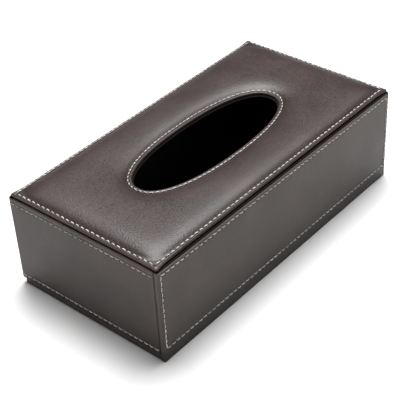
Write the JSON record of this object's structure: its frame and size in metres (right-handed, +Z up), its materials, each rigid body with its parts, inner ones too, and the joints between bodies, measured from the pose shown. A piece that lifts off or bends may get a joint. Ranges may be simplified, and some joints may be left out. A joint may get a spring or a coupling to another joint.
{
  "type": "tissue box with drawer",
  "caption": "Rectangular leather-covered tissue box with a padded top, an oval dispensing opening and an end drawer that holds the refill.",
  "frame": {"origin": "on the table, under the middle of the case", "axes": "+X along the length, away from the drawer's end; +Y towards the back long side, where the finger recess is; +Z up"},
  "size_m": [0.255, 0.132, 0.0794],
  "materials": {
    "leather": "satin",
    "thread": "matte",
    "board": "matte",
    "tray_board": "matte",
    "foam": "matte",
    "flock": "matte",
    "felt": "matte",
    "glide": "satin",
    "magnet": "satin",
    "plate": "satin"
  },
  "bodies": {
    "case": {"base_board": "board", "base_cover": "leather", "base_felt": "felt", "base_lining": "flock", "glide_strips": "glide", "front_board": "board", "front_cover": "leather", "front_thread": "thread", "front_edge_binding": "leather", "front_lining": "flock", "back_board": "board", "back_cover": "leather", "back_thread": "thread", "back_edge_binding": "leather", "back_lining": "flock", "rear_board": "board", "rear_cover": "leather", "rear_thread": "thread", "rear_edge_binding": "leather", "rear_lining": "flock", "case_magnets": "magnet", "top_board": "board", "top_foam": "foam", "top_cover": "leather", "top_lining": "flock", "top_border_thread": "thread", "opening_thread": "thread", "opening_ring": "leather", "stop_blocks": "board"},
    "drawer": {"drawer_face_board": "board", "drawer_face_cover": "leather", "drawer_face_lining": "flock", "drawer_face_thread": "thread", "tray_floor": "tray_board", "tray_front_side": "tray_board", "tray_back_side": "tray_board", "tray_end": "tray_board", "tray_lining": "flock", "catch_plates": "plate"}
  },
  "joints": [
    {"name": "drawer_slide", "type": "slide", "parent": "case", "child": "drawer", "axis": [-1, 0, 0], "range_m": [0, 0.19]}
  ]
}
